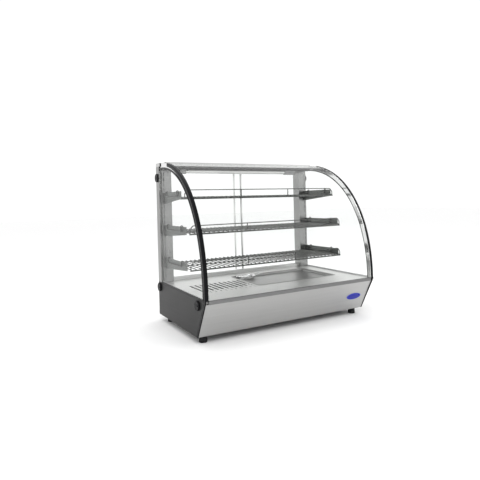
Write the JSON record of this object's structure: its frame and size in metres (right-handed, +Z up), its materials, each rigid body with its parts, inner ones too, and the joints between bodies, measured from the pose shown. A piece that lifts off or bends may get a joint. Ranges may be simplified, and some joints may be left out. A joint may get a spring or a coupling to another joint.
{
  "type": "hot food display case",
  "caption": "Countertop heated display case with a curved glass front, glass sides, wire shelves on hooked brackets, a slotted steel deck and sliding glass doors at the back.",
  "frame": {"origin": "centre of the footprint at the level of the feet", "axes": "+X to the right seen from the front, +Y towards the sliding doors at the back, +Z up"},
  "size_m": [0.787, 0.478, 0.666],
  "materials": {
    "brushed_steel": "fine horizontal brush grain",
    "side_steel": "dark brushed side sheets",
    "deck_steel": "satin, lightly brushed",
    "pan_steel": "satin",
    "polished_steel": "polished",
    "post_steel": "brushed along its length",
    "bracket_steel": "satin",
    "shelf_wire": "bright drawn wire",
    "channel_aluminium": "satin anodised",
    "track_aluminium": "satin anodised",
    "top_rail_dark": "dark anodised",
    "clear_glass": "clear toughened glass",
    "black_rubber": "matt moulded",
    "black_moulding": "half-gloss black moulding",
    "grey_gasket": "matt",
    "black_plastic": "fine moulded texture",
    "green_plastic": "translucent rocker",
    "lamp_white": "opal lamp tube",
    "lamp_grey": "moulded lamp end",
    "badge_blue": "plain oval badge with a pale border",
    "heater_sheath": "oxidised tube sheath",
    "zinc_sheet": "zinc-plated sheet",
    "motor_paint": "dark enamel",
    "ceramic_white": "moulded control body"
  },
  "bodies": {
    "case": {"base_front_panel": "brushed_steel", "base_rear_panel": "brushed_steel", "top_panel": "brushed_steel", "base_side_panel_left": "side_steel", "base_side_panel_right": "side_steel", "base_bottom_tray": "zinc_sheet", "fan_shroud": "zinc_sheet", "deck_plate": "deck_steel", "side_trim_left": "polished_steel", "side_trim_right": "polished_steel", "front_glass_channel": "channel_aluminium", "door_track_bottom": "track_aluminium", "door_track_top": "track_aluminium", "rear_post_left": "post_steel", "rear_post_right": "post_steel", "top_front_rail": "top_rail_dark", "lamp_tube": "lamp_white", "lamp_holder_left": "lamp_grey", "lamp_holder_right": "lamp_grey", "front_glass": "clear_glass", "side_glass_left": "clear_glass", "side_glass_right": "clear_glass", "trim_cover_left": "black_moulding", "trim_cover_right": "black_moulding", "glass_gasket_left": "grey_gasket", "glass_gasket_right": "grey_gasket", "foot_front_left": "black_rubber", "foot_front_right": "black_rubber", "foot_rear_left": "black_rubber", "foot_rear_right": "black_rubber", "cable_gland": "black_plastic", "glass_cap_rear_top_left": "black_plastic", "glass_cap_rear_top_right": "black_plastic", "glass_cap_rear_lower_left": "black_plastic", "glass_cap_rear_lower_right": "black_plastic", "glass_cap_front_lower_left": "black_plastic", "glass_cap_front_lower_right": "black_plastic", "badge": "badge_blue", "heating_element": "heater_sheath", "fan_motor": "motor_paint", "thermostat_body": "ceramic_white", "shelf_top": "shelf_wire", "shelf_bracket_top_left": "bracket_steel", "shelf_bracket_top_right": "bracket_steel", "shelf_middle": "shelf_wire", "shelf_bracket_middle_left": "bracket_steel", "shelf_bracket_middle_right": "bracket_steel", "shelf_bottom": "shelf_wire", "shelf_bracket_bottom_left": "bracket_steel", "shelf_bracket_bottom_right": "bracket_steel"},
    "door_left": {"door_glass_left": "clear_glass", "door_pull_left": "track_aluminium"},
    "door_right": {"door_glass_right": "clear_glass", "door_pull_right": "track_aluminium"},
    "thermostat_knob": {"thermostat_knob": "black_plastic"},
    "power_rocker": {"power_rocker": "green_plastic"},
    "light_rocker": {"light_rocker": "black_plastic"},
    "fan_impeller": {"fan_impeller": "zinc_sheet"},
    "water_pan": {"water_pan": "pan_steel"},
    "water_dish": {"water_dish": "polished_steel"}
  },
  "joints": [
    {"name": "door_left_slide", "type": "slide", "parent": "case", "child": "door_left", "axis": [1, 0, 0], "range_m": [0, 0.31]},
    {"name": "door_right_slide", "type": "slide", "parent": "case", "child": "door_right", "axis": [-1, 0, 0], "range_m": [0, 0.31]},
    {"name": "thermostat_turn", "type": "hinge", "parent": "case", "child": "thermostat_knob", "pos_m": [-0.25, 0.223, 0.1], "axis": [0, 1, 0], "range_deg": [0, 270]},
    {"name": "power_rock", "type": "hinge", "parent": "case", "child": "power_rocker", "pos_m": [-0.19, 0.2235, 0.1], "axis": [1, 0, 0], "range_deg": [0, 18.3]},
    {"name": "light_rock", "type": "hinge", "parent": "case", "child": "light_rocker", "pos_m": [-0.15, 0.2235, 0.1], "axis": [1, 0, 0], "range_deg": [0, 18.3]},
    {"name": "fan_spin", "type": "hinge", "parent": "case", "child": "fan_impeller", "pos_m": [-0.2, 0, 0.0945], "axis": [0, 0, 1], "continuous": true},
    {"name": "water_pan_lift", "type": "slide", "parent": "case", "child": "water_pan", "axis": [0, 0, 1], "range_m": [0, 0.035]},
    {"name": "water_dish_lift", "type": "slide", "parent": "water_pan", "child": "water_dish", "axis": [0, 0, 1], "range_m": [0, 0.025]}
  ]
}
